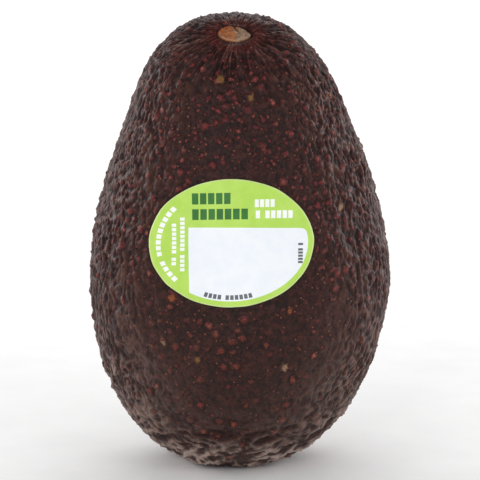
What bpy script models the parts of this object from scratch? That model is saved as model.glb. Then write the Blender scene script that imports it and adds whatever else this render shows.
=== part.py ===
"""A whole ripe avocado, standing on its blossom end with its stem end up.

Metres, +Z up. The origin is on the ground, under the middle of the widest part.
The label faces -Y. There are three pieces: the fruit, the woody stub of its stalk
and a thin oval label.
"""

import math

import bmesh
import bpy
from mathutils import Matrix, Vector

# Fruit
LENGTH = 0.1092         # along its bent middle line, before the blossom end is flattened
WIDTH = 0.072           # widest part, along X
DEPTH = 0.0706          # widest part, along Y
EGG = (0.205, -0.122, -0.184, 0.343)   # how the outline differs from an ellipse
FLATTENED = 0.001       # how much of the blossom end is worn off by the flat spot
BOW = 0.0019            # how far both ends bend towards -X
STEM_LEAN = math.radians(25.0)   # how far the stem end is turned towards -Y
LEAN_POWER = 4          # a high power keeps the bend near the stem end
FRUIT_SIDES = 64
FRUIT_RINGS = 46

# Stub of the stalk, an oval plug in a shallow socket
STUB_WIDTH = 0.0082
STUB_DEPTH = 0.0062
STUB_ASIDE = 0.0007     # how far its middle is from the fruit's tip, towards +X
STUB_FORWARD = 0.0018   # and down the front of the fruit
STUB_DEEP = 0.0026      # how far it goes down into the fruit
STUB_SUNK = 0.0001      # how far its cut face is below the skin round the socket
STUB_ROUNDING = 0.0004
STUB_SIDES = 40
STUB_GAP = 0.0003       # clearance between the stub and its socket

# Label, measured straight across, as seen from in front of it
LABEL_WIDTH = 0.0384
LABEL_TALL = 0.0298
LABEL_THICK = 0.0003
LABEL_GAP = 0.0003      # clearance between the label's back and the skin
LABEL_HEIGHT = 0.0604   # height of its middle above the ground
LABEL_ASIDE = -0.0022   # its middle, along X
LABEL_SIDES = 56
LABEL_RINGS = 7


def clear_scene():
    for old in list(bpy.data.objects):
        bpy.data.objects.remove(old, do_unlink=True)


# ---------------------------------------------------------------- fruit shape

def plain_radius(turn):
    """Outline of the fruit at an angle from the blossom end, before scaling."""
    c = math.cos(turn)
    series = 1.0
    for order, amount in enumerate(EGG):
        series += amount * c ** (order + 1)
    return math.sin(turn) * series


FULLEST = max(plain_radius(math.pi * i / 2000) for i in range(2001))


def section(turn):
    """One section across the bent middle line.

    Gives its half width and half depth, and a matrix that places its own axes,
    with z along the middle line, in the fruit's.
    """
    part_way = 0.5 * (1.0 - math.cos(turn))
    along = LENGTH * part_way
    lean = STEM_LEAN * part_way ** LEAN_POWER
    # The middle line follows the lean, summed up as a short series.
    n = LEAN_POWER
    x = -BOW * (2.0 * part_way - 1.0) ** 2
    y = -along * (lean / (n + 1) - lean ** 3 / (6 * (3 * n + 1)))
    z = along * (1.0 - lean ** 2 / (2 * (2 * n + 1))) - FLATTENED
    size = plain_radius(turn) / FULLEST
    frame = Matrix.Translation((x, y, z)) @ Matrix.Rotation(lean, 4, "X")
    return 0.5 * WIDTH * size, 0.5 * DEPTH * size, frame


def skin_point(turn, around):
    """A point on the skin. Around is zero at -Y and grows towards +X."""
    half_width, half_depth, frame = section(turn)
    return frame @ Vector((half_width * math.sin(around), -half_depth * math.cos(around), 0.0))


def skin_normal(turn, around):
    """The outward direction of the skin at a point."""
    step = 1e-3
    up = skin_point(turn + step, around) - skin_point(turn - step, around)
    side = skin_point(turn, around + step) - skin_point(turn, around - step)
    return side.cross(up).normalized()


def search(low, high, too_low):
    """Halve the range between low and high until too_low changes at its middle."""
    for _ in range(60):
        middle = 0.5 * (low + high)
        if too_low(middle):
            low = middle
        else:
            high = middle
    return 0.5 * (low + high)


def turn_at_front(height):
    """Angle from the blossom end at which the front of the fruit has a height."""
    return search(0.3, 2.6, lambda turn: skin_point(turn, 0.0).z < height)


def turn_at_width(half_width):
    """Angle, near the stem end, at which the section has a half width."""
    return search(0.5 * math.pi, math.pi, lambda turn: section(turn)[0] > half_width)


# ---------------------------------------------------------------- objects

def new_object(mesh, name):
    """Turn a bmesh into a named, smooth object."""
    bmesh.ops.recalc_face_normals(mesh, faces=mesh.faces)
    data = bpy.data.meshes.new(name)
    mesh.to_mesh(data)
    mesh.free()
    data.shade_smooth()
    data.set_sharp_from_angle(angle=math.radians(40.0))
    piece = bpy.data.objects.new(name, data)
    bpy.context.scene.collection.objects.link(piece)
    return piece


def paint(piece, slot, color, roughness):
    """Give a piece its own plain material."""
    material = bpy.data.materials.new(slot)
    material.use_nodes = True
    shader = material.node_tree.nodes["Principled BSDF"]
    shader.inputs["Base Color"].default_value = (*color, 1.0)
    shader.inputs["Roughness"].default_value = roughness
    material.diffuse_color = (*color, 1.0)
    piece.data.materials.append(material)


def oval_cylinder(width, depth, low, high, sides):
    """An upright cylinder with an oval section, from one level to another."""
    mesh = bmesh.new()
    middle = Matrix.Translation((0.0, 0.0, 0.5 * (low + high)))
    bmesh.ops.create_cone(
        mesh,
        cap_ends=True,
        segments=sides,
        radius1=0.5,
        radius2=0.5,
        depth=high - low,
        matrix=middle @ Matrix.Diagonal((width, depth, 1.0, 1.0)),
    )
    return mesh


# ---------------------------------------------------------------- pieces

def make_fruit():
    """A ball drawn out to the fruit's shape, with a flat spot to stand on."""
    mesh = bmesh.new()
    bmesh.ops.create_uvsphere(
        mesh, u_segments=FRUIT_SIDES, v_segments=FRUIT_RINGS, radius=1.0
    )
    for vert in mesh.verts:
        turn = math.acos(max(-1.0, min(1.0, -vert.co.z)))
        around = math.atan2(vert.co.x, -vert.co.y)
        vert.co = skin_point(turn, around)
    cut = bmesh.ops.bisect_plane(
        mesh,
        geom=mesh.verts[:] + mesh.edges[:] + mesh.faces[:],
        plane_co=(0.0, 0.0, 0.0),
        plane_no=(0.0, 0.0, 1.0),
        clear_inner=True,
    )
    edges = [item for item in cut["geom_cut"] if isinstance(item, bmesh.types.BMEdge)]
    bmesh.ops.contextual_create(mesh, geom=edges)
    fruit = new_object(mesh, "fruit")
    paint(fruit, "skin", (0.045, 0.022, 0.018), 0.5)
    return fruit


def stub_frame():
    """Where the stub's cut face is: level with the skin just round the socket."""
    aside = 2.0 * STUB_ASIDE / WIDTH
    forward = 2.0 * STUB_FORWARD / DEPTH
    turn = turn_at_width(0.5 * WIDTH * math.hypot(aside, forward))
    around = math.atan2(aside, forward)
    out = skin_normal(turn, around)
    back = out.cross(Vector((1.0, 0.0, 0.0))).normalized()
    axes = Matrix((back.cross(out), back, out)).transposed().to_4x4()
    # The domed skin is this much lower at the socket's rim than at its middle.
    rim = section(turn_at_width(0.5 * STUB_WIDTH + STUB_GAP))[2].translation
    drop = (skin_point(math.pi, 0.0) - rim).length
    lowered = Matrix.Translation((0.0, 0.0, -(drop + STUB_SUNK)))
    return Matrix.Translation(skin_point(turn, around)) @ axes @ lowered


def cut_socket(fruit):
    """Cut the hole for the stub, with a clearance all round it."""
    mesh = oval_cylinder(
        STUB_WIDTH + 2.0 * STUB_GAP,
        STUB_DEPTH + 2.0 * STUB_GAP,
        -(STUB_DEEP + STUB_GAP),
        STUB_DEEP,
        FRUIT_SIDES,
    )
    cutter = new_object(mesh, "socket_cutter")
    cutter.matrix_world = stub_frame()
    cutter.hide_render = True
    cutter.display_type = "WIRE"
    hole = fruit.modifiers.new("socket", "BOOLEAN")
    hole.operation = "DIFFERENCE"
    hole.solver = "EXACT"
    hole.object = cutter


def make_stem_button():
    mesh = oval_cylinder(STUB_WIDTH, STUB_DEPTH, -STUB_DEEP, 0.0, STUB_SIDES)
    stub = new_object(mesh, "stem_button")
    stub.matrix_world = stub_frame()
    edge = stub.modifiers.new("worn_edge", "BEVEL")
    edge.width = STUB_ROUNDING
    edge.segments = 2
    edge.limit_method = "ANGLE"
    edge.angle_limit = math.radians(60.0)
    paint(stub, "stem", (0.32, 0.14, 0.06), 0.8)
    return stub


def make_label():
    """An oval disc of rings, laid on the skin and then thickened outwards."""
    mesh = bmesh.new()
    bmesh.ops.create_circle(mesh, cap_ends=True, segments=LABEL_SIDES, radius=1.0)
    middle_face = list(mesh.faces)
    for _ in range(LABEL_RINGS - 1):
        bmesh.ops.inset_region(
            mesh, faces=middle_face, thickness=1.0 / LABEL_RINGS, use_boundary=True
        )
    bmesh.ops.poke(mesh, faces=middle_face)

    middle_turn = turn_at_front(LABEL_HEIGHT)
    middle = skin_point(middle_turn, 0.0)
    # How far the skin runs per unit of turn, and which way is up along it.
    climb = (skin_point(middle_turn + 1e-3, 0.0) - middle) / 1e-3
    up = climb.normalized()
    for vert in mesh.verts:
        x = LABEL_ASIDE + 0.5 * LABEL_WIDTH * vert.co.x
        tall = 0.5 * LABEL_TALL * vert.co.y
        turn = middle_turn
        around = 0.0
        # Find the skin point that lies straight behind this point of a flat oval.
        for _ in range(12):
            half_width, _deep, frame = section(turn)
            around = math.asin((x - frame.translation.x) / half_width)
            rise = (skin_point(turn, around) - middle).dot(up)
            turn += (tall - rise) / climb.length
        vert.co = skin_point(turn, around) + LABEL_GAP * skin_normal(turn, around)
    label = new_object(mesh, "label")
    if label.data.polygons[0].normal.y > 0.0:
        label.data.flip_normals()
    film = label.modifiers.new("film", "SOLIDIFY")
    film.thickness = LABEL_THICK
    film.offset = 1.0
    paint(label, "label", (0.42, 0.66, 0.13), 0.35)
    return label


clear_scene()
fruit_object = make_fruit()
cut_socket(fruit_object)
make_stem_button()
make_label()
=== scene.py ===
"""The looks of a whole ripe avocado: pebbled skin, woody stalk stub and oval label.

Shapes are worked out in millimetres and turn into metres when a mesh is made. The lights, the
camera and the scales of the paint are in metres. Each noise has a seed of its own.
"""

import math

import bpy
import numpy as np
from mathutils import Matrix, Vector, geometry, kdtree


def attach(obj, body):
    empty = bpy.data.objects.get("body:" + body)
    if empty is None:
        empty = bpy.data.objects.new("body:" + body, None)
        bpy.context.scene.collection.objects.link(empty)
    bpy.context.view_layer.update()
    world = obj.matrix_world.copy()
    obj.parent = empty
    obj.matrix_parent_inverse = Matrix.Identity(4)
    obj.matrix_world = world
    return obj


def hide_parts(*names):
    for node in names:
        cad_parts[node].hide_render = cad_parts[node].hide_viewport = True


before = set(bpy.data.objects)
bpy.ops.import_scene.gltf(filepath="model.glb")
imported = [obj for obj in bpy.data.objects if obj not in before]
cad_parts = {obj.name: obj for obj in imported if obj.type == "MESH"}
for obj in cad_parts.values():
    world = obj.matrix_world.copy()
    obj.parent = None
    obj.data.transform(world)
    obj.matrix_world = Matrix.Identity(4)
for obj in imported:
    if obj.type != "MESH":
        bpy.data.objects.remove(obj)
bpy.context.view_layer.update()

MM = 0.001

# ------------------------------------------------------------ the fruit's own shape
# The same outline as the model's: an egg on a middle line that bends near the stem.
LENGTH, WIDTH, DEPTH = 109.2, 72.0, 70.6
EGG = (0.205, -0.122, -0.184, 0.343)  # a cosine series that draws the outline
FLATTENED = 1.0  # how much of the low end is cut off flat
BOW = 1.9  # how far the middle line bows sideways
STEM_LEAN = math.radians(25.0)  # forward, reached only near the stem
LEAN_POWER = 4
STUB_WIDTH, STUB_DEPTH = 8.2, 6.2
STUB_ASIDE, STUB_FORWARD = 0.7, 1.8  # from the fruit's tip to the stub's middle
STUB_GAP = 0.3
LABEL_WIDTH, LABEL_TALL = 38.4, 29.8
LABEL_HEIGHT, LABEL_ASIDE = 60.4, -2.2

ROWS, SIDES = 480, 720  # the skin's mesh


def plain_radius(turn):
    """The egg's outline before it is scaled. Turn runs from 0 at its low end to pi at its tip."""
    c = np.cos(turn)
    series = 1.0 + sum(amount * c ** (k + 1) for k, amount in enumerate(EGG))
    return np.sin(turn) * series


FULLEST = plain_radius(np.linspace(0.0, math.pi, 2001)).max()


def section(turn):
    """Half width, half depth, middle point and lean of a section, for an array of turns."""
    part_way = 0.5 * (1.0 - np.cos(turn))
    along = LENGTH * part_way
    lean = STEM_LEAN * part_way**LEAN_POWER
    n = LEAN_POWER
    x = -BOW * (2.0 * part_way - 1.0) ** 2
    y = -along * (lean / (n + 1) - lean**3 / (6 * (3 * n + 1)))
    z = along * (1.0 - lean**2 / (2 * (2 * n + 1))) - FLATTENED
    size = plain_radius(turn) / FULLEST
    return 0.5 * WIDTH * size, 0.5 * DEPTH * size, np.stack([x, y, z], -1), lean


def skin_point(turn, around):
    """Points of the smooth fruit. Around is an angle from the front, growing to the right."""
    wide, deep, middle, lean = section(turn)
    x, y = wide * np.sin(around), -deep * np.cos(around)
    return middle + np.stack(np.broadcast_arrays(x, y * np.cos(lean), y * np.sin(lean)), -1)


def skin_normal(turn, around):
    """Which way is out, from four points close by."""
    step = 2e-3
    up = skin_point(turn + step, around) - skin_point(turn - step, around)
    side = skin_point(turn, around + step) - skin_point(turn, around - step)
    out = np.cross(side, up)
    return out / np.maximum(np.linalg.norm(out, axis=-1, keepdims=True), 1e-12)


TURNS = np.linspace(1e-4, math.pi - 1e-4, 6001)
STEM_HALF = TURNS > 2.2  # above the widest section, where size only falls
RIM = 0.5 * STUB_WIDTH + STUB_GAP  # the socket's half width


def turn_at_size(size):
    """Turns, near the stem end, at which sections are a share of the widest one."""
    sizes = 2.0 * section(TURNS[STEM_HALF])[0] / WIDTH
    return np.interp(-size, -sizes, TURNS[STEM_HALF])


# The stub's middle on the skin, and its own axes: right, back and out.
ASIDE_SHARE, FORWARD_SHARE = 2.0 * STUB_ASIDE / WIDTH, 2.0 * STUB_FORWARD / DEPTH
STUB_TURN = turn_at_size(np.array(math.hypot(ASIDE_SHARE, FORWARD_SHARE)))
STUB_AROUND = np.array(math.atan2(ASIDE_SHARE, FORWARD_SHARE))
STUB_OUT = skin_normal(STUB_TURN, STUB_AROUND)
STUB_BACK = np.cross(STUB_OUT, (1.0, 0.0, 0.0))
STUB_BACK = STUB_BACK / np.linalg.norm(STUB_BACK)
STUB_RIGHT = np.cross(STUB_BACK, STUB_OUT)
RIM_TURN = turn_at_size(np.array(2.0 * RIM / WIDTH))
TIP = skin_point(np.array(math.pi), np.array(0.0))
STUB_DROP = np.linalg.norm(TIP - section(RIM_TURN)[2])
STUB_MIDDLE = skin_point(STUB_TURN, STUB_AROUND) - STUB_DROP * STUB_OUT

# Where the label's middle is, and which way is up along the skin there.
BELLY = slice(1500, 4500)  # the turns along which the front only climbs
FRONT_HEIGHTS = skin_point(TURNS, 0.0 * TURNS)[:, 2]
LABEL_TURN = float(np.interp(LABEL_HEIGHT, FRONT_HEIGHTS[BELLY], TURNS[BELLY]))
LABEL_MIDDLE = skin_point(np.array(LABEL_TURN), np.array(0.0))
LABEL_UP = skin_point(np.array(LABEL_TURN + 1e-3), np.array(0.0)) - LABEL_MIDDLE
LABEL_STRETCH = float(np.linalg.norm(LABEL_UP)) / 1e-3
LABEL_UP = LABEL_UP / np.linalg.norm(LABEL_UP)


# ------------------------------------------------------------ noise and scatter
def smooth(low, high, value):
    """From 0 at low to 1 at high with soft ends. Low can be the larger one."""
    t = np.clip((value - low) / (high - low), 0.0, 1.0)
    return t * t * (3.0 - 2.0 * t)


def noise(points, size, seed):
    """Gradient noise from about -1 to 1 with lumps of a size. Size can be a triple."""
    rng = np.random.default_rng(seed)
    order = np.tile(rng.permutation(256), 3)
    slopes = rng.normal(size=(256, 3))
    slopes /= np.linalg.norm(slopes, axis=1, keepdims=True)
    p = points / np.asarray(size, float)
    cell = np.floor(p).astype(int)
    f = p - cell
    cell &= 255
    w = f * f * f * (f * (f * 6.0 - 15.0) + 10.0)
    total = np.zeros(p.shape[:-1])
    for corner in np.ndindex(2, 2, 2):
        pick = order[cell[..., 0] + corner[0]]
        pick = order[pick + cell[..., 1] + corner[1]]
        pick = order[pick + cell[..., 2] + corner[2]]
        share = np.prod(np.where(corner, w, 1.0 - w), axis=-1)
        total += share * (slopes[pick] * (f - corner)).sum(-1)
    return total * 1.7


def ridges(points, size, seed):
    """Sharp wandering crests on a smooth ground, from 0 to 1."""
    return np.clip(1.0 - 2.6 * np.abs(noise(points, size, seed)), 0.0, 1.0)


def warps(points, size, first_seed):
    """Three noises at once, to push points about with."""
    return np.stack([noise(points, size, first_seed + k) for k in range(3)], -1)


def random_places(count, rng):
    """Points spread evenly over the skin, as turn, around and position."""
    points = skin_point(TURNS, 0.5 * math.pi + 0.0 * TURNS)
    steps = np.linalg.norm(np.diff(points, axis=0), axis=1)
    area = np.concatenate([[0.0], np.cumsum(steps * section(TURNS[1:])[0])])
    turn = np.interp(rng.random(count) * area[-1], area, TURNS)
    around = rng.random(count) * 2.0 * math.pi
    return turn, around, skin_point(turn, around)


def thin_out(points, gaps):
    """Which points to keep so that none is nearer than its gap to one before it."""
    size = float(np.max(gaps))
    cells = {}
    kept = []
    keys = np.floor(points / size).astype(int)
    near = [(i, j, k) for i in (-1, 0, 1) for j in (-1, 0, 1) for k in (-1, 0, 1)]
    for n, (point, key, gap) in enumerate(zip(points.tolist(), keys.tolist(), gaps)):
        limit = gap * gap
        clear = True
        for i, j, k in near:
            for q in cells.get((key[0] + i, key[1] + j, key[2] + k), ()):
                d = (q[0] - point[0]) ** 2 + (q[1] - point[1]) ** 2 + (q[2] - point[2]) ** 2
                if d < limit:
                    clear = False
                    break
            if not clear:
                break
        if clear:
            cells.setdefault(tuple(key), []).append(point)
            kept.append(n)
    return np.array(kept)


# ------------------------------------------------------------ meshes and materials
def new_piece(name, vertices, faces):
    """A mesh object from points in millimetres and faces, an array or a list."""
    mesh = bpy.data.meshes.new(name)
    mesh.from_pydata((np.asarray(vertices) * MM).tolist(), [], faces)
    mesh.update()
    mesh.shade_smooth()
    piece = bpy.data.objects.new(name, mesh)
    bpy.context.scene.collection.objects.link(piece)
    return piece


def rings_to_faces(rows, sides):
    """Quads between closed rings of vertices, lowest ring first."""
    r = np.arange(rows - 1)[:, None] * sides
    c = np.arange(sides)[None, :]
    d = (c + 1) % sides
    return np.stack([r + c, r + d, r + sides + d, r + sides + c], -1).reshape(-1, 4)


def fan(ring, tip, flip):
    """Triangles from a ring of vertices to one in its middle."""
    count = len(ring)
    pairs = [(ring[i], ring[(i + 1) % count]) for i in range(count)]
    return [(b, a, tip) if flip else (a, b, tip) for a, b in pairs]


def keep_number(mesh, name, values):
    """A number for each vertex, which the paint reads by its name."""
    layer = mesh.attributes.new(name, "FLOAT", "POINT")
    layer.data.foreach_set("value", np.asarray(values, np.float32))


def keep_map(mesh, places):
    """A clean unwrapping, one (u, v) for each corner of each face."""
    layer = mesh.uv_layers.new(name="OFBake")
    layer.data.foreach_set("uv", np.asarray(places, np.float32).ravel())


def srgb(red, green, blue):
    """A colour given as on a screen, from 0 to 255, in the linear values nodes use."""
    out = []
    for value in (red, green, blue):
        v = value / 255.0
        out.append(v / 12.92 if v <= 0.04045 else ((v + 0.055) / 1.055) ** 2.4)
    return tuple(out)


class Paint:
    """A node material, built up one node at a time."""

    def __init__(self, name):
        self.material = bpy.data.materials.new(name)
        self.material.use_nodes = True
        self.tree = self.material.node_tree
        self.shader = self.tree.nodes["Principled BSDF"]

    def add(self, kind, inputs=None, **settings):
        """A new node, with its settings and what goes in to it."""
        node = self.tree.nodes.new("ShaderNode" + kind)
        for key, value in settings.items():
            setattr(node, key, value)
        for key, value in (inputs or {}).items():
            self.feed(node.inputs[key], value)
        return node

    def feed(self, socket, value):
        """Links a node or one of its outputs to a socket, or sets the socket's own value."""
        if isinstance(value, bpy.types.NodeSocket):
            self.tree.links.new(value, socket)
        elif isinstance(value, bpy.types.Node):
            self.tree.links.new(value.outputs[0], socket)
        else:
            socket.default_value = value

    def spot(self):
        """Where on the piece, in metres from its own origin."""
        return self.add("TexCoord").outputs["Object"]

    def noise(self, scale, detail=3.0, rough=0.55, warp=0.0, where=None):
        values = {"Scale": scale, "Detail": detail, "Roughness": rough, "Distortion": warp}
        values["Vector"] = where or self.spot()
        return self.add("TexNoise", values).outputs["Fac"]

    def number(self, name):
        """A number kept with the mesh."""
        return self.add("Attribute", attribute_name=name).outputs["Fac"]

    def span(self, value, low, high, to_low=0.0, to_high=1.0):
        """Value's range from low to high, smoothly stretched to a new one."""
        node = self.add("MapRange", interpolation_type="SMOOTHSTEP")
        for key, item in enumerate((value, low, high, to_low, to_high)):
            self.feed(node.inputs[key], item)
        return node.outputs["Result"]

    def math(self, operation, a, b=0.0):
        return self.add("Math", {0: a, 1: b}, operation=operation).outputs[0]

    def mix(self, share, a, b):
        """From colour a where share is 0 to colour b where it is 1."""
        node = self.add("Mix", data_type="RGBA", blend_type="MIX")
        for key, item in ((0, share), (6, a), (7, b)):
            self.feed(node.inputs[key], (*item, 1.0) if isinstance(item, tuple) else item)
        return node.outputs[2]

    def stain(self, color, share, amount, ink):
        """The colour with an ink, as on a screen, laid over it where share is high."""
        return self.mix(self.math("MULTIPLY", share, amount), color, srgb(*ink))

    def bump(self, height, distance, strength=1.0, after=None):
        values = {"Height": height, "Distance": distance, "Strength": strength}
        if after is not None:
            values["Normal"] = after
        return self.add("Bump", values).outputs["Normal"]

    def set(self, **values):
        """Feeds the shader's own sockets, with their names' spaces as underscores."""
        for key, value in values.items():
            self.feed(self.shader.inputs[key.replace("_", " ")], value)


# ------------------------------------------------------------ skin
STRETCH = np.array([1.0, 1.0, 0.80])  # the cells of the skin are taller than wide
CELL_TRIES, WART_TRIES = 46000, 30000  # places tried before those too close are dropped
CELL_GAP = 2.1  # between the middles of two cells
CREST_SIZE, THIN_CREST_SIZE = (1.9, 1.9, 4.2), (1.1, 1.1, 2.5)
# The most that each kind of relief raises the skin, before it is softened in places.
CELL_LIFT, CREST_LIFT, WRINKLE_LIFT, FOLD_LIFT, CRUMPLE_LIFT = 0.27, 0.56, 0.74, 0.95, 0.55
SKIN_SUNK = 0.28  # so that the relief's middle lies on the smooth fruit
SCAR_LIFT = 0.12
LIP_LIFT, LIP_WAY, LIP_WIDTH = 0.22, 5.2, 1.2  # a low ring of skin round the stub
BACK_DROP = 0.5  # how much lower the shoulder is behind the stub
REST_BEND = 0.3  # how softly the skin turns in to the floor it rests on


def lumps(points):
    """Broad unevenness of the whole fruit."""
    return 0.42 * noise(points, 19.0, 1) + 0.22 * noise(points, 9.0, 2)


def label_reach(points):
    """How far from the label's middle, with 1 at its edge. Large at the back."""
    away = points - LABEL_MIDDLE
    x = (points[..., 0] - LABEL_ASIDE) / (0.5 * LABEL_WIDTH)
    y = (away @ LABEL_UP) / (0.5 * LABEL_TALL)
    return np.hypot(x, y) + 10.0 * (points[..., 1] > -5.0)


def skin_grid():
    """Turn and around of each point of the skin's mesh, in rings up to the stub."""
    side = skin_point(TURNS, 0.5 * math.pi + 0.0 * TURNS)
    steps = np.linalg.norm(np.diff(side, axis=0), axis=1)
    run = np.concatenate([[0.0], np.cumsum(steps)])
    last = np.interp(RIM_TURN, TURNS, run)
    row_turn = np.interp(np.linspace(0.35, last, ROWS), run, TURNS)[:, None]
    column = 2.0 * math.pi * np.arange(SIDES)[None, :] / SIDES
    # Towards the stem the rings move over to the stub and take on its oval.
    size = 2.0 * section(row_turn)[0] / WIDTH
    near = (1.0 - smooth(2.0 * RIM / WIDTH, 0.5, size)) * (row_turn > 2.0)
    narrow = 1.0 - near * (1.0 - (0.5 * STUB_DEPTH + STUB_GAP) / RIM)
    right = size * np.sin(column) + ASIDE_SHARE * near
    ahead = size * np.cos(column) * narrow + FORWARD_SHARE * near
    turn = np.where(near > 0.0, turn_at_size(np.hypot(right, ahead)), row_turn + 0.0 * column)
    around = np.where(near > 0.0, np.arctan2(right, ahead), column + 0.0 * row_turn)
    return turn, around, np.broadcast_to(column, turn.shape)


def find_cells(points, rng):
    """Rounded cells packed over the skin, with narrow creases between them."""
    _turn, _around, seeds = random_places(CELL_TRIES, rng)
    high = seeds[:, 2]
    gaps = CELL_GAP + 0.2 * smooth(75.0, 45.0, high) + 0.8 * smooth(26.0, 4.0, high)
    gaps = gaps - 0.2 * (np.linalg.norm(seeds - STUB_MIDDLE, axis=1) < 13.0)
    gaps = gaps + 0.4 * noise(seeds, 11.0, 12)
    seeds = seeds[thin_out(seeds * STRETCH, np.clip(gaps, 1.4, 3.6))]
    tree = kdtree.KDTree(len(seeds))
    for n, seed in enumerate((seeds * STRETCH).tolist()):
        tree.insert(seed, n)
    tree.balance()
    flat = ((points + 0.55 * warps(points, 2.6, 21)) * STRETCH).reshape(-1, 3)
    near = np.array([[a[2], b[2], a[1]] for a, b in (tree.find_n(p, 2) for p in flat.tolist())])
    share = near[:, 0] / (0.5 * (near[:, 0] + near[:, 1]))
    return seeds, share.reshape(points.shape[:-1]), near[:, 2].astype(int).reshape(points.shape[:-1])


def cells_and_crests(points, facing, rng):
    """Low rounded cells, crossed by sharp wandering crests that run up the fruit."""
    seeds, share, owner = find_cells(points, rng)
    tall = 0.45 + 0.55 * rng.random(len(seeds))
    cell = tall[owner] * np.clip(1.0 - share**2, 0.0, 1.0) ** 0.8
    warp = warps(points, 4.0, 24)
    crest = ridges(points + 1.0 * warp, CREST_SIZE, 31)
    thin_crest = ridges(points + 0.7 * warp, THIN_CREST_SIZE, 32)
    net = 0.58 * crest + 0.42 * thin_crest
    height = points[..., 2]
    calm = 1.0 - 0.45 * facing * smooth(62.0, 40.0, height) * smooth(7.0, 18.0, height)
    strength = 0.95 + 0.55 * noise(points, 10.0, 33)
    raised = strength * calm * (CELL_LIFT + 0.06 * (1.0 - facing)) * cell
    raised = raised + strength * calm * (CREST_LIFT - 0.31 * facing) * net
    raised = raised + 0.26 * (1.0 - 0.6 * facing) * noise(points, 4.6, 34)
    raised = raised + 0.05 * noise(points, 0.9, 35)
    tone = 1.0 - (1.0 - 0.64 * facing) * (1.0 - np.clip(0.95 * net + 0.35 * cell, 0.0, 1.0))
    return raised, tone, seeds, warp


def stem_wrinkles(points, ring, stem_way):
    """Rounded wrinkles with sharp creases that run in to the stem, from 0 to 1."""
    coarse = ring * 8.5
    coarse[..., 2] = stem_way / 8.0
    close = ring * 16.0
    close[..., 2] = stem_way / 6.0 + 9.0
    bend = 0.22 * noise(points, 4.0, 43)[..., None]
    return 0.62 * ridges(coarse + bend, 1.0, 41) + 0.38 * ridges(close + bend, 1.0, 42)


def end_folds(points, ring, warp):
    """Long crumpled folds that run round the blossom end, up to about 1."""
    run = 0.75 * points[..., 2] + 0.65 * np.hypot(points[..., 0], points[..., 1])
    band = ring * 4.2
    band[..., 2] = run / 3.4
    bent = band + (0.35 * noise(points, 6.0, 51) + 0.15 * noise(points, 2.4, 52))[..., None]
    fold = np.clip(1.0 - 1.6 * np.abs(noise(bent, 1.0, 53)), 0.0, 1.0)
    small_fold = np.clip(1.0 - 1.8 * np.abs(noise(points + 0.8 * warp, (2.0, 2.0, 1.5), 55)), 0.0, 1.0)
    return (0.66 * fold + 0.34 * small_fold) * (0.80 + 0.45 * noise(points, 9.0, 54))


def relief(points, normals, column, stem_way, rng):
    """How far the skin is raised, its tone from crease to crest, and how far it faces front or back."""
    height = points[..., 2]
    facing = smooth(0.35, 1.0, np.abs(normals[..., 1]))
    raised, tone, seeds, warp = cells_and_crests(points, facing, rng)
    ring = np.stack([np.cos(column), np.sin(column), 0.0 * column], -1)

    near_stem = smooth(24.0, 9.0, stem_way)
    wrinkles = stem_wrinkles(points, ring, stem_way)
    kept = 1.0 - 0.72 * near_stem
    raised = raised * kept + near_stem * smooth(4.0, 4.7, stem_way) * WRINKLE_LIFT * wrinkles
    tone = tone * kept + (1.0 - kept) * (0.15 + 0.85 * wrinkles)

    low = smooth(24.0, 9.0, height)
    fold = end_folds(points, ring, warp)
    raised = raised * (1.0 - 0.35 * low) + low * FOLD_LIFT * (np.clip(fold, 0.0, 1.0) - 0.25)
    crumple = np.clip(1.0 - 1.5 * np.abs(noise(points + 1.4 * warp, (4.2, 4.2, 3.2), 56)), 0.0, 1.0)
    raised = raised + CRUMPLE_LIFT * (1.0 - 0.8 * facing) * smooth(50.0, 18.0, height) * (crumple - 0.3)
    tone = tone * (1.0 - low) + low * np.clip(1.35 * fold, 0.0, 1.0)
    return raised, np.clip(tone, 0.0, 1.0), facing, seeds


def choose_warts(seeds, rng):
    """Lenticels, the small corky warts: their places, radii, hues, glows and lifts."""
    _turn, _around, more = random_places(WART_TRIES, rng)
    more = more[thin_out(more, 1.15 + 0.9 * rng.random(len(more)))]
    small = np.concatenate([np.zeros(len(seeds), bool), np.ones(len(more), bool)])
    spots = np.concatenate([seeds + 0.25 * rng.normal(size=seeds.shape), more])
    upper = smooth(36.0, 62.0, spots[:, 2])
    patchy = noise(spots, 9.0, 61)
    chance = np.where(small, 0.50 + 0.20 * upper, 0.55 + 0.42 * upper) + 0.30 * patchy
    kept = rng.random(len(spots)) < chance
    spots, small, upper = spots[kept], small[kept], upper[kept]
    size = np.where(small, 0.22 + 0.16 * upper, 0.68 - 0.10 * upper)
    size = np.clip(size * np.exp(0.30 * rng.normal(size=len(spots))), 0.14, 1.05)
    hue = rng.random(len(spots))
    glow = np.clip(0.56 + 0.18 * upper + 0.26 * rng.normal(size=len(spots)), 0.10, 1.0)
    glow = glow * (0.55 + 0.45 * smooth(8.0, 26.0, np.abs(spots[:, 1])))
    lift = np.clip((0.24 + 0.14 * upper) * size, 0.04, 0.24)
    return spots, size, hue, glow, lift


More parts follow.
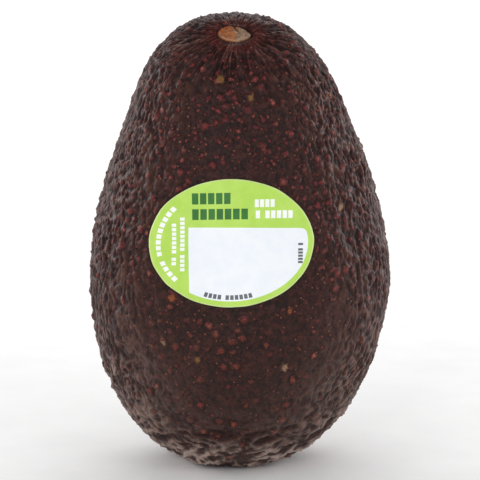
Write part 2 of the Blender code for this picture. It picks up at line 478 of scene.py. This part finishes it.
def add_warts(points, seeds, rng):
    """For each point: how far a wart raises it, how deep inside one it lies, and its hue and glow."""
    spots, size, hue, glow, lift = choose_warts(seeds, rng)
    flat = points.reshape(-1, 3)
    ragged = (1.0 + 0.55 * noise(flat, 0.9, 62)).tolist()
    tree = kdtree.KDTree(len(flat))
    for n, point in enumerate(flat.tolist()):
        tree.insert(point, n)
    tree.balance()
    bump = np.zeros(len(flat))
    mark = np.full(len(flat), -1.0)  # 1 in a wart's middle, 0 at its edge, less outside
    hues = np.full(len(flat), 0.5)
    glows = np.full(len(flat), 0.5)
    for spot, radius, high, color, power in zip(spots.tolist(), size, lift, hue, glow):
        for _point, n, away in tree.find_range(spot, radius * 2.2 + 0.3):
            away *= ragged[n]
            inside = 1.0 - away / radius
            if inside > mark[n]:
                mark[n] = inside
                hues[n] = color
                glows[n] = power
            t = min(1.0, away / (1.4 * radius))
            bump[n] = max(bump[n], high * (1.0 - t * t) ** 2)
    return [values.reshape(points.shape[:-1]) for values in (bump, mark, hues, glows)]


SCARS = (
    # Old marks on the front: sideways, height, radius and hue (0 rust, 0.5 olive, 1 beige).
    (-16.0, 46.5, 0.95, 0.0),
    (11.6, 44.0, 0.70, 0.1),
    (-10.0, 32.0, 0.80, 0.5),
    (10.5, 30.0, 0.95, 1.0),
    (-4.4, 97.0, 0.95, 0.42),
    (2.6, 93.0, 0.80, 0.55),
    (23.6, 66.6, 0.90, 0.9),
    (-18.2, 35.4, 0.60, 0.8),
    (26.0, 19.0, 0.80, 1.0),
    (21.5, 91.0, 0.70, 0.3),
)


def add_scars(points):
    """How strongly each point is marked by an old scar, and that scar's hue."""
    mark = np.zeros(points.shape[:-1])
    hues = np.zeros(points.shape[:-1])
    ragged = 1.0 + 0.55 * noise(points, 0.8, 64)
    for x, height, radius, hue in SCARS:
        away = (points[..., 0] - x) ** 2 + (points[..., 2] - height) ** 2 + 1e4 * (points[..., 1] > 0.0)
        middle = points[np.unravel_index(np.argmin(away), away.shape)]
        strength = smooth(1.15, 0.55, np.linalg.norm(points - middle, axis=-1) * ragged / radius)
        hues = np.where(strength > 0.0, hue, hues)
        mark = np.maximum(mark, strength)
    return mark, hues


def skin_map(rows):
    """The skin's unwrapping: rings as rows, then the fans that close the low end and the socket."""
    column = np.arange(SIDES)[None, :]
    row = np.arange(rows - 1)[:, None]
    u = np.stack(np.broadcast_arrays(column, column + 1, column + 1, column), -1) + 0 * row[..., None]
    v = np.stack(np.broadcast_arrays(row, row, row + 1, row + 1), -1) + 0 * column[..., None]
    low_v, span_v = 0.02, 0.96
    quads = np.stack([u / SIDES, low_v + span_v * v / rows], -1).reshape(-1, 2)
    high_v = low_v + span_v * (rows - 1) / rows
    c = np.arange(SIDES)
    low = np.stack([c + 1, c, c + 0.5], 1) / SIDES
    low = np.stack([low, np.tile([low_v, low_v, 0.005], (SIDES, 1))], -1)
    top = np.stack([c, c + 1, c + 0.5], 1) / SIDES
    top = np.stack([top, np.tile([high_v, high_v, 0.995], (SIDES, 1))], -1)
    return np.concatenate([quads, low.reshape(-1, 2), top.reshape(-1, 2)])


def skin_lift(points, stem_way, raised, bump, bare):
    """How far each point of the smooth fruit moves out, from its relief and what lies on it."""
    # Under the label the skin is nearly flat, and next to the stub it has no warts.
    raised = raised * (0.2 + 0.8 * bare) + bump * bare * smooth(4.5, 7.0, stem_way)
    lip = LIP_LIFT * np.exp(-(((stem_way - LIP_WAY) / LIP_WIDTH) ** 2))
    total = lumps(points) * smooth(4.0, 12.0, stem_way) + raised + lip - SKIN_SUNK
    # Behind the stub, more so on the left, the fruit's shoulder is a little lower.
    back_left = smooth(-8.0, 2.0, points[..., 1]) * (1.0 - 0.7 * smooth(-2.0, 6.0, points[..., 0]))
    return total - BACK_DROP * smooth(20.0, 8.0, stem_way) * back_left


def close_skin(vertices):
    """The skin's rings as a closed piece, with two more that turn down into the stub's socket."""
    rim = vertices[-1]
    inward = rim - rim.mean(0)
    wall = [rim - 0.04 * inward - 0.16 * STUB_OUT, rim - 0.055 * inward - 1.4 * STUB_OUT]
    vertices = np.concatenate([vertices, np.stack(wall)])
    rows = ROWS + 2
    low_tip = np.append(vertices[0].mean(0)[:2], vertices[0][:, 2].min())
    flat = np.concatenate([vertices.reshape(-1, 3), [low_tip, vertices[-1].mean(0)]])
    faces = rings_to_faces(rows, SIDES).tolist()
    faces += fan(range(SIDES), rows * SIDES, True)
    faces += fan(range((rows - 1) * SIDES, rows * SIDES), rows * SIDES + 1, False)
    skin = new_piece("avocado_skin", flat, faces)
    keep_map(skin.data, skin_map(rows))
    return skin


def make_skin():
    """The skin with all its relief, its numbers for the paint and the paint itself."""
    turn, around, column = skin_grid()
    points = skin_point(turn, around)
    normals = skin_normal(turn, around)
    stem_way = np.linalg.norm(points - STUB_MIDDLE, axis=-1)
    rng = np.random.default_rng(71)
    raised, tone, facing, seeds = relief(points, normals, column, stem_way, rng)
    bump, mark, hues, glows = add_warts(points, seeds, rng)
    scar, scar_hue = add_scars(points)
    bare = smooth(1.0, 1.05, label_reach(points))
    lift = skin_lift(points, stem_way, raised, bump + SCAR_LIFT * scar, bare)
    vertices = points + normals * lift[..., None]
    # It rests on the floor and nothing goes below it.
    z = vertices[..., 2]
    vertices[..., 2] = 0.5 * (z + np.sqrt(z * z + REST_BEND**2))
    skin = close_skin(vertices)

    height = points[..., 2]
    low_end = smooth(13.0, 2.5, height)
    numbers = {
        "wart": np.where(bare > 0.5, mark, -1.0),
        "scar": scar,
        "scar_hue": scar_hue,
        "hue": hues,
        "glow": glows,
        "tone": tone,
        "side": 1.0 - facing,
        "near_stem": smooth(17.0, 7.0, stem_way) * (1.0 - 0.7 * facing),
        "low_end": np.maximum(low_end, 0.42 * (1.0 - facing) * smooth(42.0, 12.0, height)),
        "collar": smooth(8.5, 5.0, stem_way) * smooth(4.3, 4.7, stem_way),
        "upper": smooth(30.0, 66.0, height),
    }
    for name, values in numbers.items():
        # The two rings of the wall repeat the rim's values, and each middle has one of its own.
        wall = np.broadcast_to(values[-1], (2, SIDES)).ravel()
        keep_number(skin.data, name, np.concatenate([values.ravel(), wall, values[[0, -1], 0]]))
    skin.data.materials.append(skin_paint())
    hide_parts("fruit")
    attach(skin, "root")


def ground_color(p, tone, low_end, upper):
    """The skin between its warts, with painted sheen on its crests and painted shade in its creases."""
    # Black purple to warm brown, in soft patches.
    patch = p.span(p.noise(95.0, 4.0, 0.6), 0.35, 0.68)
    # The lower part is paler and greyer than the upper: a painted haze of light from below.
    lower_part = p.mix(patch, srgb(40, 24, 22), srgb(51, 33, 30))
    upper_part = p.mix(patch, srgb(31, 12, 12), srgb(43, 19, 18))
    color = p.mix(upper, lower_part, upper_part)
    shade = p.span(p.noise(38.0, 3.0, 0.5), 0.40, 0.62)
    color = p.stain(color, shade, 0.45, (30, 19, 16))
    blotch = p.span(p.noise(520.0, 5.0, 0.8), 0.44, 0.60)
    color = p.stain(color, blotch, 0.55, (76, 38, 32))
    speck = p.span(p.noise(1100.0, 3.0, 0.7), 0.50, 0.62)
    color = p.stain(color, speck, 0.70, (20, 10, 10))
    # At the sides and round the stem the crests get a warmer, paler brown: a painted sheen where light grazes
    # them.
    side, near_stem = p.number("side"), p.number("near_stem")
    painted_sheen_mask = p.math("MAXIMUM", side, near_stem)
    crest = p.math("MULTIPLY", painted_sheen_mask, p.span(tone, 0.50, 1.0))
    color = p.stain(color, crest, 0.50, (126, 80, 64))
    # A painted grey highlight on the crests of the wrinkles round the stem.
    wrinkle_highlight = p.math("MULTIPLY", near_stem, p.span(tone, 0.70, 1.0))
    color = p.stain(color, wrinkle_highlight, 0.40, (150, 126, 120))
    color = p.stain(color, p.number("collar"), 0.55, (92, 36, 32))
    # Painted shade darkens the creases, less so at the low end.
    crease_shade = p.math("MULTIPLY", p.span(tone, 0.0, 0.45, 0.62, 0.0), p.span(low_end, 0.2, 1.0, 1.0, 0.4))
    color = p.mix(crease_shade, color, srgb(22, 10, 10))
    # The crests of the blossom end are painted pale grey: a painted sheen of light from below.
    end_sheen = p.math("MULTIPLY", low_end, p.span(tone, 0.40, 0.95, 0.12, 1.0))
    color = p.stain(color, end_sheen, 0.72, (176, 156, 146))
    # Thin painted highlights along the highest of those crests.
    end_crest_highlight = p.math("MULTIPLY", low_end, p.span(tone, 0.78, 1.0))
    return p.stain(color, end_crest_highlight, 0.32, (198, 182, 174))


def wart_color(p, ground, wart, upper, grain):
    """Warts laid over the ground, dark red or rust in a ring of painted shade, and how much of a wart is
    there.
    """
    hue, glow = p.number("hue"), p.number("glow")
    # Painted shade: a dark ring on the ground round each wart's foot.
    ring = p.math("MULTIPLY", p.span(wart, -0.75, -0.35), p.span(wart, -0.10, 0.10, 1.0, 0.0))
    ring = p.math("MULTIPLY", ring, p.math("MULTIPLY", glow, 0.6))
    ground = p.mix(ring, ground, srgb(24, 10, 10))
    ragged = p.math("ADD", wart, p.span(p.noise(2400.0, 3.0, 0.7), 0.25, 0.75, -0.30, 0.25))
    edge = p.span(ragged, -0.20, 0.30)
    red = p.mix(p.span(hue, 0.1, 0.9), srgb(112, 36, 42), srgb(132, 54, 48))
    rust = p.mix(p.span(hue, 0.1, 0.9), srgb(116, 46, 36), srgb(140, 68, 46))
    color = p.mix(upper, rust, red)
    # Each is darker at its foot, a painted shade, and some have a paler middle, a painted highlight, so that
    # they look like beads.
    color = p.mix(p.span(ragged, 0.05, 0.60, 0.75, 0.0), color, srgb(60, 20, 20))
    color = p.stain(color, grain, 0.65, (56, 24, 22))
    # A painted highlight in the middle of some warts.
    wart_highlight = p.math("MULTIPLY", p.span(ragged, 0.5, 0.85), p.span(hue, 0.60, 0.90))
    color = p.stain(color, wart_highlight, 0.7, (172, 100, 88))
    return p.mix(p.math("MULTIPLY", edge, glow), ground, color), edge


def scar_color(p, color, grain):
    """Old scars laid over a colour: rust, olive or beige."""
    hue = p.number("scar_hue")
    healed = p.mix(p.span(hue, 0.05, 0.45), srgb(158, 82, 42), srgb(134, 98, 52))
    healed = p.mix(p.span(hue, 0.55, 0.95), healed, srgb(160, 128, 104))
    healed = p.stain(healed, grain, 0.75, (74, 48, 32))
    return p.mix(p.math("MULTIPLY", p.number("scar"), 0.85), color, healed)


def pale_dots(p, color):
    """Tiny pale dots between the warts."""
    dots = p.add("TexVoronoi", {"Vector": p.spot(), "Scale": 760.0}, feature="F1")
    dot = p.span(dots.outputs["Distance"], 0.10, 0.18, 1.0, 0.0)
    some = p.add("SeparateColor", {0: dots.outputs["Color"]}).outputs[0]
    dot = p.math("MULTIPLY", dot, p.span(some, 0.35, 0.80, 0.0, 0.75))
    return p.mix(dot, color, srgb(146, 88, 70))


def skin_paint():
    """Ground, warts, scars and dots, one over the other, on leathery skin."""
    p = Paint("avocado_skin")
    wart, tone, upper = p.number("wart"), p.number("tone"), p.number("upper")
    grain = p.span(p.noise(4200.0, 2.0), 0.44, 0.62)
    color = ground_color(p, tone, p.number("low_end"), upper)
    color, edge = wart_color(p, color, wart, upper, grain)
    color = pale_dots(p, scar_color(p, color, grain))
    # Creases are dull, crests are worn smooth and the warts shine a little.
    rough = p.span(tone, 0.1, 0.75, 0.80, 0.35)
    rough = p.math("ADD", rough, p.span(p.noise(420.0, 3.0), 0.3, 0.7, -0.05, 0.07))
    rough = p.math("SUBTRACT", rough, p.math("MULTIPLY", edge, 0.10))
    leather = p.bump(p.noise(1500.0, 4.0, 0.6), 0.00012, 0.5)
    leather = p.bump(p.math("MULTIPLY", edge, grain), 0.00006, 0.8, leather)
    p.set(Base_Color=color, Roughness=rough, Normal=leather)
    p.set(Specular_IOR_Level=p.span(edge, 0.2, 0.9, 0.16, 0.20))
    return p.material


# ------------------------------------------------------------ stub of the stalk
STUB_SIDES, STUB_ROWS = 120, 26
STUB_SIDE_DROPS = [0.12, 0.5, 1.2]  # how far below its face the rings of the stub's side lie
STUB_FULL = 1.01  # a little wider than the model's, to narrow the gap to the skin


def make_stub():
    """A rough woody plug, level with the skin, that fills its socket."""
    reach = np.concatenate([np.linspace(0.05, 1.0, STUB_ROWS), [1.0, 1.0, 0.99]])[:, None]
    drop = np.concatenate([np.zeros(STUB_ROWS), STUB_SIDE_DROPS])[:, None]
    around = (2.0 * math.pi * np.arange(STUB_SIDES) / STUB_SIDES)[None, :]
    # Drawn out to a blunt point on the right, cut back behind it, and a little ragged.
    ragged = noise(np.stack([np.cos(around), np.sin(around), 0.0 * around], -1) * 3.0, 1.0, 85)
    taper = 1.0 - 0.16 * smooth(0.1, 1.0, np.sin(around)) * np.abs(np.cos(around))
    taper = taper - 0.15 * smooth(0.2, 1.0, np.sin(around) - np.cos(around) - 0.4)
    edge = (taper + 0.035 * ragged) * reach
    x = 0.5 * STUB_WIDTH * edge * np.sin(around) * STUB_FULL
    y = -0.5 * STUB_DEPTH * edge * np.cos(around) * STUB_FULL
    flat = np.stack([x, y, 0.0 * x], -1)
    # Two lobes meet in a bowed line, with a wedge-shaped cleft at the back of it.
    bow = 0.10 * (y + 0.5) ** 2
    split = smooth(-0.9, 0.9, x - 0.5 + bow + 1.1 * noise(flat, 1.7, 84))
    cleft_width = 0.14 + 0.18 * np.maximum(y, 0.0)
    cleft = np.exp(-(((x - 0.8 + bow + 0.4 * noise(flat, 1.5, 86)) / cleft_width) ** 2))
    cleft = cleft * smooth(-0.4, 1.2, y)
    rough = 0.13 * noise(flat, 1.2, 81) + 0.08 * noise(flat, 0.55, 82)
    rings = 0.04 * np.sin(reach * 24.0 + 3.0 * noise(flat, 2.0, 83))
    rim = 0.16 * np.exp(-(((reach - 0.86) / 0.10) ** 2))
    z = 0.22 + rough + rings + rim - 0.22 * smooth(0.9, 1.0, reach) - 0.12 * split - 0.35 * cleft - drop
    vertices = STUB_MIDDLE + x[..., None] * STUB_RIGHT + y[..., None] * STUB_BACK
    vertices = vertices + z[..., None] * STUB_OUT
    rows = len(reach)
    points = np.concatenate([vertices.reshape(-1, 3), [vertices[0].mean(0), vertices[-1].mean(0)]])
    faces = rings_to_faces(rows, STUB_SIDES)[:, ::-1].tolist()
    last_ring = range((rows - 1) * STUB_SIDES, rows * STUB_SIDES)
    faces += fan(range(STUB_SIDES), rows * STUB_SIDES, False)
    faces += fan(last_ring, rows * STUB_SIDES + 1, True)
    stub = new_piece("stem_button_wood", points, faces)

    bark = smooth(0.55, 0.95, reach) * smooth(1.5, -0.5, x) * smooth(-1.5, 0.5, y)
    numbers = {
        "split": split,
        "reach": reach,
        "low_side": smooth(0.3, -0.9, y / STUB_DEPTH * 2.0),
        "bark": bark,
        # Painted shade in the cleft and in the low hollows of the rough face.
        "dark": np.clip(cleft - 4.0 * rough * (rough < 0.0), 0.0, 1.0),
    }
    for name, values in numbers.items():
        values = np.broadcast_to(values, x.shape)
        middles = [values[0].mean(), values[-1].mean()]
        keep_number(stub.data, name, np.concatenate([values.ravel(), middles]))
    stub.data.materials.append(stub_paint())
    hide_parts("stem_button")
    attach(stub, "root")


def stub_paint():
    """Rust wood on one lobe and pale, weathered wood on the other, with a bark edge."""
    p = Paint("stalk_wood")
    reach = p.number("reach")
    grain = p.span(p.noise(1000.0, 5.0, 0.75, 0.8), 0.38, 0.62)
    bright = p.span(p.noise(1500.0, 3.0, 0.6), 0.52, 0.62)
    wood = p.mix(grain, srgb(118, 62, 28), srgb(160, 108, 72))
    wood = p.stain(wood, bright, 0.7, (190, 112, 48))
    pale = p.mix(grain, srgb(112, 80, 60), srgb(166, 142, 120))
    color = p.mix(p.number("split"), wood, pale)
    color = p.stain(color, p.number("bark"), 0.75, (150, 74, 34))
    pits = p.span(p.noise(2600.0, 2.0), 0.60, 0.68)
    color = p.stain(color, pits, 0.6, (84, 46, 28))
    # Painted shade in the cleft and in the low hollows of the wood.
    color = p.stain(color, p.number("dark"), 0.8, (64, 34, 24))
    # A painted highlight on the raised rim along the stub's low, front side.
    rim = p.math("MULTIPLY", p.span(reach, 0.74, 0.88), p.span(reach, 0.92, 1.0, 1.0, 0.0))
    rim = p.math("MULTIPLY", rim, p.number("low_side"))
    color = p.stain(color, rim, 0.40, (196, 158, 128))
    color = p.mix(p.span(reach, 0.92, 1.0, 0.0, 0.7), color, srgb(96, 52, 34))
    bump = p.bump(p.noise(1800.0, 4.0, 0.6), 0.00025, 0.8)
    p.set(Base_Color=color, Roughness=p.span(grain, 0.0, 1.0, 0.7, 0.9), Normal=bump)
    p.set(Specular_IOR_Level=0.2)
    return p.material


# ------------------------------------------------------------ label
GREEN, PANEL, DARK_GREEN, WHITE, GREY, EDGE = range(6)
INKS = (
    # In the order above: a name and the two colours, as on a screen, that the ink mottles between.
    ("label_green", (186, 224, 98), (178, 218, 88)),
    ("label_white", (243, 247, 252), (238, 243, 250)),
    ("label_dark_green", (50, 118, 44), (42, 106, 40)),
    ("label_white_ink", (250, 252, 250), (244, 248, 244)),
    ("label_grey_ink", (104, 108, 112), (92, 96, 100)),
    ("label_edge", (208, 230, 150), (200, 222, 140)),
)
FILM = 0.09  # its thickness
LABEL_LIFT = 0.30  # over the smooth skin's broad lumps
PRINT_INSET = 0.28  # how wide the paler cut edge is
WORD_GAP = 0.7  # between words, where a block's own room is 1
LONGEST_SIDE, LABEL_STEP = 0.6, 0.72  # how finely outlines and the film's middle are cut
MAP_SIZE = 40.0  # how many millimetres of the flat label the whole map is wide


def onto_skin(x, rise, lift):
    """Points of a flat oval seen from in front, laid on the skin with a lift."""
    turn = np.full(x.shape, LABEL_TURN)
    around = np.zeros(x.shape)
    for _ in range(14):
        wide, _deep, middle, _lean = section(turn)
        around = np.arcsin(np.clip((x - middle[:, 0]) / wide, -1.0, 1.0))
        here = skin_point(turn, around)
        turn = turn + (rise - (here - LABEL_MIDDLE) @ LABEL_UP) / LABEL_STRETCH
    base = skin_point(turn, around)
    return base + skin_normal(turn, around) * (lumps(base) + lift)[:, None]


def oval_point(angle, inset=0.0):
    """A point of the label's edge, or of an oval inside it."""
    return (0.5 * LABEL_WIDTH - inset) * math.cos(angle), (0.5 * LABEL_TALL - inset) * math.sin(angle)


def row_of_blocks(place, words, fill):
    """Blocks that stand in for words. Place turns how far along and across the row into a point."""
    shapes = []
    pitch = 1.0 / (sum(words) + WORD_GAP * (len(words) - 1))
    at = 0.0
    for word in words:
        for _ in range(word):
            end = at + pitch * fill
            shapes.append([place(at, -0.5), place(end, -0.5), place(end, 0.5), place(at, 0.5)])
            at += pitch
        at += WORD_GAP * pitch
    return shapes


def straight_row(start, end, tall):
    """A row from one point of the label to another, for row_of_blocks."""
    (ax, ay), (bx, by) = start, end
    length = math.hypot(bx - ax, by - ay)
    ux, uy = (bx - ax) / length, (by - ay) / length

    def place(along, across):
        x = ax + ux * along * length - uy * across * tall
        y = ay + uy * along * length + ux * across * tall
        return x, y

    return place


def curved_row(start, end, inset, tall):
    """A row that follows the label's edge from one angle to another, in degrees."""
    first, last = math.radians(start), math.radians(end)

    def place(along, across):
        return oval_point(first + (last - first) * along, inset - across * tall)

    return place


def fine_outline(corners):
    """The same outline with its sides cut short, so that it can bend over the skin."""
    points = []
    for a, b in zip(corners, corners[1:] + corners[:1]):
        parts = max(1, math.ceil(math.dist(a, b) / LONGEST_SIDE))
        points += [(a[0] + (b[0] - a[0]) * k / parts, a[1] + (b[1] - a[1]) * k / parts) for k in range(parts)]
    return points


def panel_outline():
    """The white panel: straight at its left and top, and curved like the label at its right and foot."""
    inset, left, top = 1.4, -9.7, 3.6
    a, b = 0.5 * LABEL_WIDTH - inset, 0.5 * LABEL_TALL - inset
    first = -math.pi + math.acos(-left / a)
    last = math.asin((top - 1.1) / b)
    arc = [oval_point(first + (last - first) * k / 70, inset) for k in range(71)]
    corner_x = a * math.cos(math.asin(top / b))
    corner = [(corner_x - 0.1, top - 0.6), (corner_x - 0.5, top - 0.35), (corner_x - 1.2, top - 0.25)]
    return [(left - 0.1, top + 0.15), (left + 0.1, arc[0][1])] + arc[1:] + corner


def label_shapes():
    """Every printed shape, as its ink and its corners. Where two overlap the later one shows."""
    count = 160
    shapes = []
    for ink, inset in ((EDGE, 0.0), (GREEN, PRINT_INSET)):
        shapes.append((ink, [oval_point(2.0 * math.pi * k / count, inset) for k in range(count)]))
    shapes.append((PANEL, panel_outline()))
    # Each row's ink and place, how many blocks stand for each of its words, and how much of
    # its own room a block fills.
    for ink, place, words, fill in (
        (DARK_GREEN, straight_row((-8.9, 10.4), (0.4, 10.4), 2.6), (5,), 0.80),
        (DARK_GREEN, straight_row((-8.9, 6.75), (4.4, 6.75), 2.5), (7,), 0.80),
        (WHITE, straight_row((5.6, 9.2), (10.4, 9.2), 1.8), (4,), 0.76),
        (WHITE, straight_row((5.8, 6.6), (14.6, 6.6), 1.8), (1, 5), 0.76),
        (WHITE, straight_row((-13.2, -5.0), (-13.2, 5.0), 1.05), (2, 7), 0.72),
        (WHITE, straight_row((-11.2, -6.4), (-11.2, 6.4), 1.05), (4, 8), 0.72),
        (WHITE, curved_row(222.0, 137.0, 2.2, 1.15), (4, 9), 0.72),
        (GREY, straight_row((16.1, -4.8), (16.1, 0.1), 1.1), (5, 1), 0.72),
        (GREY, curved_row(249.0, 288.0, 2.3, 1.1), (4, 6), 0.74),
    ):
        shapes += [(ink, block) for block in row_of_blocks(place, words, fill)]
    return shapes


def flat_label():
    """The label cut into triangles along every printed edge: its points, triangles and their inks."""
    shapes = label_shapes()
    vertices, faces = [], []
    for _ink, corners in shapes:
        turns = sum(a[0] * b[1] - b[0] * a[1] for a, b in zip(corners, corners[1:] + corners[:1]))
        corners = fine_outline(corners if turns > 0.0 else corners[::-1])
        faces.append(list(range(len(vertices), len(vertices) + len(corners))))
        vertices += [Vector(c) for c in corners]
    # A triangular grid of points fills the label up to near its edge.
    for i in range(-28, 29):
        for j in range(-22, 23):
            x, y = (i + 0.5 * (j % 2)) * LABEL_STEP, j * LABEL_STEP * 0.87
            if math.hypot(x / (0.5 * LABEL_WIDTH), y / (0.5 * LABEL_TALL)) < 0.975:
                vertices.append(Vector((x, y)))
    flat, _edges, tris, _ov, _oe, kinds = geometry.delaunay_2d_cdt(vertices, [], faces, 1, 1e-4)
    inks = [shapes[max(kind, default=0)][0] for kind in kinds]
    return np.array([v[:] for v in flat]), [tuple(t) for t in tris], inks


def make_label():
    """The printed film, laid over the skin."""
    flat, tris, inks = flat_label()
    # The outline wavers a little, and the film rides gently over the skin.
    angle = np.arctan2(flat[:, 1] / LABEL_TALL, flat[:, 0] / LABEL_WIDTH)
    reach = np.hypot(flat[:, 0] / (0.5 * LABEL_WIDTH), flat[:, 1] / (0.5 * LABEL_TALL))
    ring = np.stack([np.cos(angle), np.sin(angle), 0 * angle], -1)
    waver = 1.0 + 0.006 * noise(ring * 3.0, 1.0, 91) * smooth(0.93, 1.0, reach)
    x, y = flat[:, 0] * waver, flat[:, 1] * waver
    deep = np.stack([x, y, 0.0 * x], -1)
    lift = LABEL_LIFT + 0.07 * noise(deep, 5.0, 92) + 0.03 * noise(deep, 2.2, 93)
    lift = lift + 0.10 * smooth(0.95, 1.0, reach) * noise(ring * 4.0, 1.0, 94)
    label = new_piece("label_film", onto_skin(x + LABEL_ASIDE, y, lift), tris)
    if label.data.polygons[0].normal.y > 0.0:
        label.data.flip_normals()
    for name, color, other in INKS:
        label.data.materials.append(film_paint(name, srgb(*color), srgb(*other)))
    label.data.polygons.foreach_set("material_index", inks)
    loops = np.zeros(len(label.data.loops), int)
    label.data.loops.foreach_get("vertex_index", loops)
    keep_map(label.data, (flat / MAP_SIZE + 0.5)[loops])
    film = label.modifiers.new("film", "SOLIDIFY")
    film.thickness = FILM * MM
    film.offset = -1.0
    film.material_offset_rim = EDGE
    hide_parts("label")
    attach(label, "root")


def film_paint(name, color, other):
    """Printed film: the ink's colour mottles faintly, with a satin face."""
    p = Paint(name)
    mottle = p.span(p.noise(260.0, 3.0), 0.35, 0.65)
    p.set(Base_Color=p.mix(mottle, color, other))
    p.set(Roughness=p.span(p.noise(700.0, 2.0), 0.3, 0.7, 0.34, 0.44))
    p.set(Normal=p.bump(p.noise(1100.0, 3.0), 0.00003, 0.5))
    p.set(Specular_IOR_Level=0.4)
    return p.material


# ------------------------------------------------------------ studio
def make_studio():
    """A pale floor, a white surround and seven soft boxes."""
    reach = 40000.0  # 40 m each way
    corners = [(-reach, -reach, 0), (reach, -reach, 0), (reach, reach, 0), (-reach, reach, 0)]
    floor = new_piece("studio_floor", corners, [(0, 1, 2, 3)])
    p = Paint("studio_floor")
    speck = p.span(p.noise(60.0, 2.0), 0.3, 0.7)
    p.set(Base_Color=p.mix(speck, srgb(246, 246, 246), srgb(249, 249, 249)), Roughness=0.9)
    p.set(Specular_IOR_Level=0.1)
    floor.data.materials.append(p.material)

    world = bpy.data.worlds.new("studio")
    bpy.context.scene.world = world
    world.use_nodes = True
    back = world.node_tree.nodes["Background"]
    back.inputs["Color"].default_value = (1.0, 1.0, 1.0, 1.0)
    back.inputs["Strength"].default_value = 0.6

    def soft_light(name, where, width, height, glow):
        """A soft box aimed at the fruit. Glow is how bright its face is."""
        data = bpy.data.lights.new(name, "AREA")
        data.shape = "RECTANGLE"
        data.size = width
        data.size_y = height
        data.energy = glow * math.pi * width * height
        lamp = bpy.data.objects.new(name, data)
        lamp.location = where
        aim = Vector((0.0, 0.0, 0.055)) - lamp.location
        lamp.rotation_euler = aim.to_track_quat("-Z", "Y").to_euler()
        lamp.visible_camera = False
        bpy.context.scene.collection.objects.link(lamp)

    soft_light("left_box", (-1.0, 0.55, 0.28), 0.8, 0.5, 3.6)
    soft_light("right_box", (1.0, 0.55, 0.28), 0.8, 0.5, 3.6)
    soft_light("back_box", (0.0, 1.0, 0.9), 1.2, 0.8, 2.2)
    soft_light("front_left", (-0.8, -0.9, 0.7), 0.5, 0.5, 2.2)
    soft_light("front_right", (0.8, -0.9, 0.7), 0.5, 0.5, 2.2)
    soft_light("glint", (-0.25, -1.0, 0.55), 0.16, 0.16, 10.0)
    soft_light("low_front", (0.0, -0.8, 0.07), 0.9, 0.12, 2.0)


def make_camera():
    """A long lens in front of the fruit, looking down on its middle by twelve degrees."""
    tilt = math.radians(12.0)
    away = 0.9  # metres from its aim
    aim = Vector((0.0, -0.0006, 0.0541))
    back = Vector((0.0, -math.cos(tilt), math.sin(tilt)))
    data = bpy.data.cameras.new("camera")
    data.lens = 279.4  # fills the picture with the fruit as the photo does
    data.clip_start = 0.01
    camera = bpy.data.objects.new("camera", data)
    camera.location = aim + back * away
    camera.rotation_euler = (-back).to_track_quat("-Z", "Y").to_euler()
    bpy.context.scene.collection.objects.link(camera)
    bpy.context.scene.camera = camera


make_camera()
make_studio()
make_skin()
make_stub()
make_label()
bpy.context.scene.view_settings.view_transform = "Standard"
